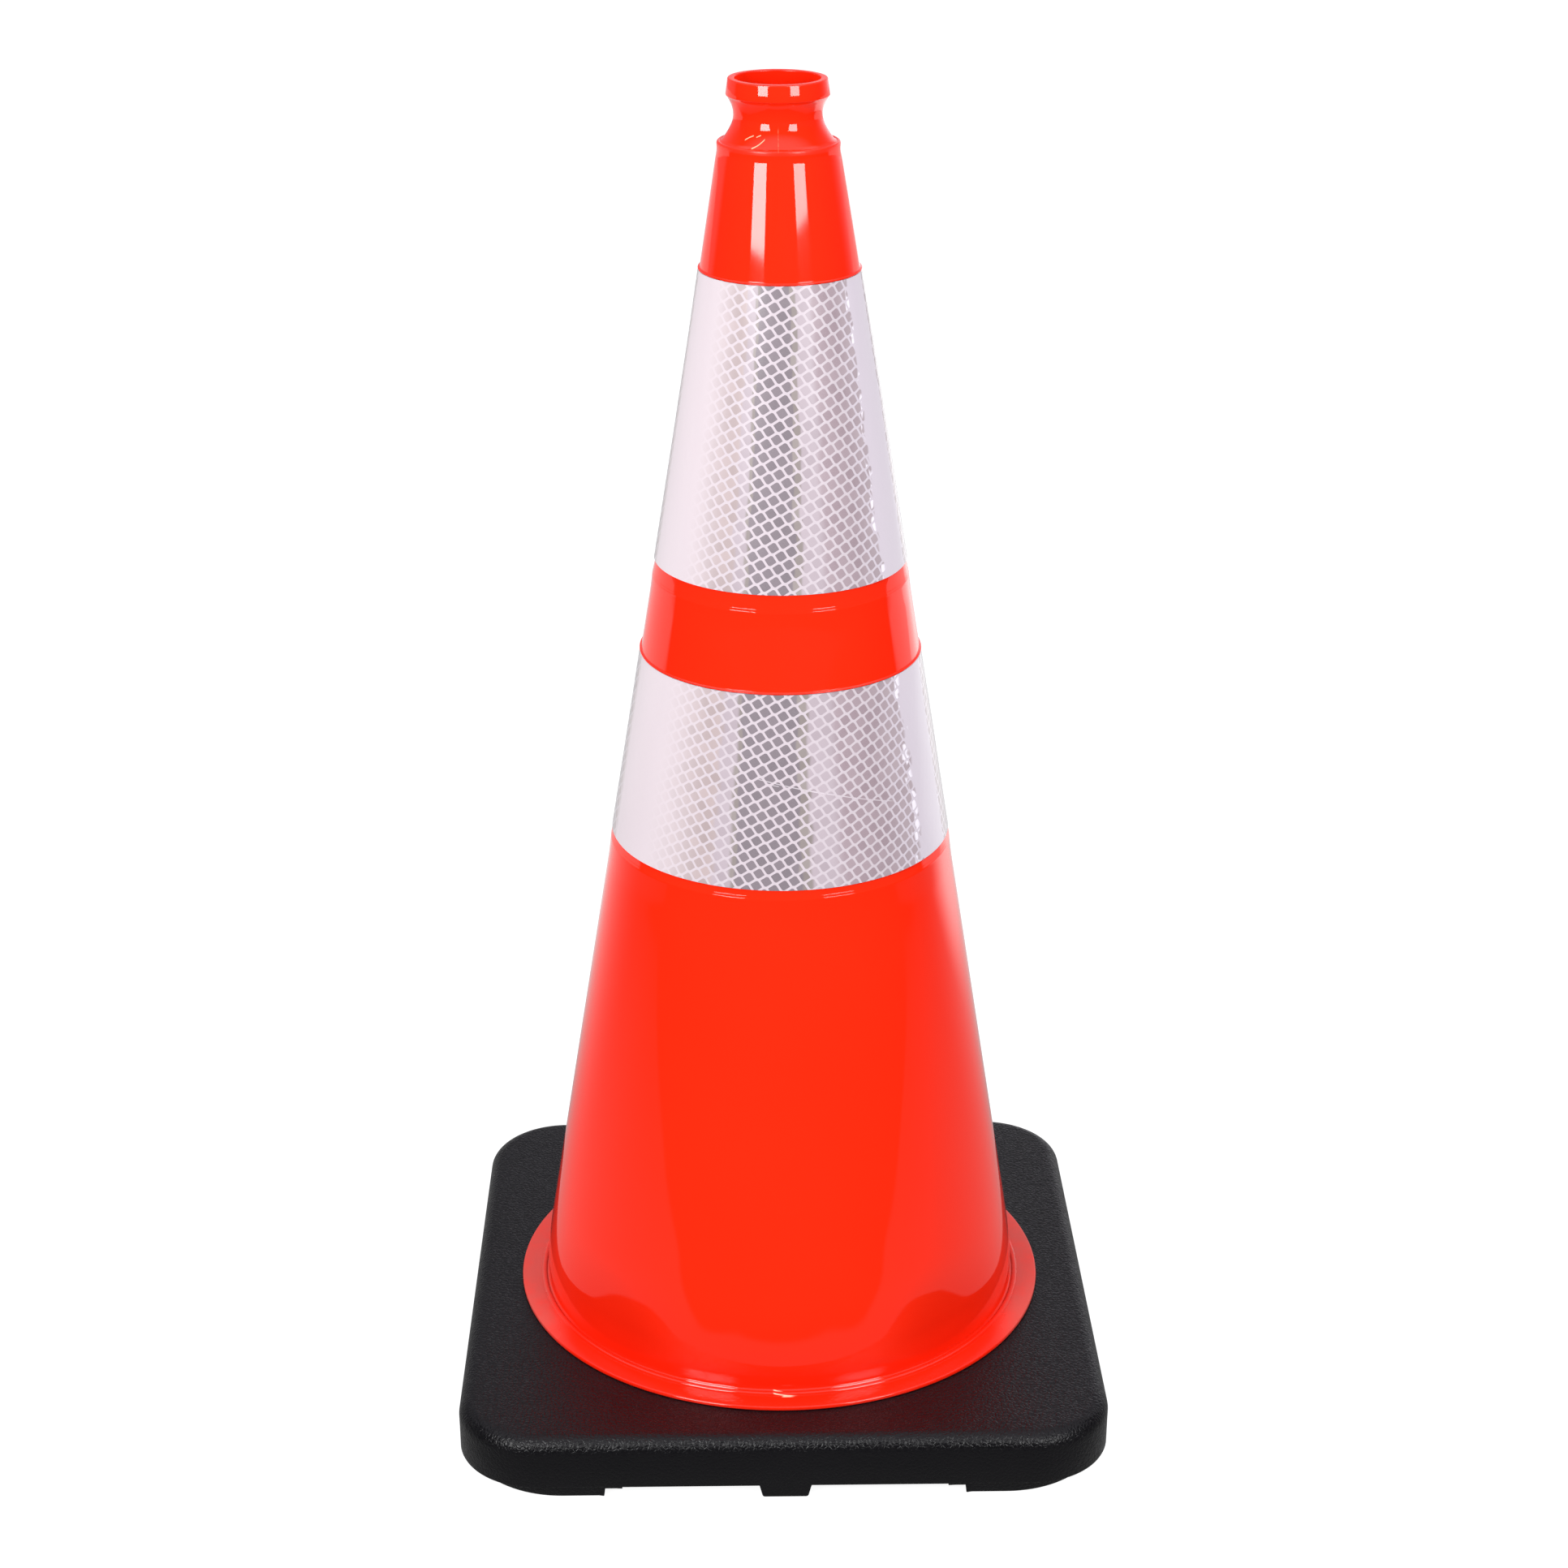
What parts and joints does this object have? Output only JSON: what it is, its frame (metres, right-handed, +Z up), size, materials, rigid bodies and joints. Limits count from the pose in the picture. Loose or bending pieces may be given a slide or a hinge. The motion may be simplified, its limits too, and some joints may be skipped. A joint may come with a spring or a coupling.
{
  "type": "traffic cone",
  "caption": "Fluorescent orange traffic cone with a grip neck and open top, reflective prismatic collars and a square black weighted base on feet.",
  "frame": {"origin": "middle of the square base, on the ground under its feet", "axes": "+Z up along the cone's axis, +X and +Y along the sides of the square base, -Y towards the front"},
  "size_m": [0.346, 0.346, 0.706],
  "materials": {
    "orange_pvc": "gloss",
    "black_pvc": "satin",
    "white_backing": "matte",
    "prismatic_film": "gloss"
  },
  "bodies": {
    "root": {"cone_body": "orange_pvc", "base": "black_pvc", "upper_collar_backing": "white_backing", "upper_collar_film": "prismatic_film", "lower_collar_backing": "white_backing", "lower_collar_film": "prismatic_film"}
  },
  "joints": []
}
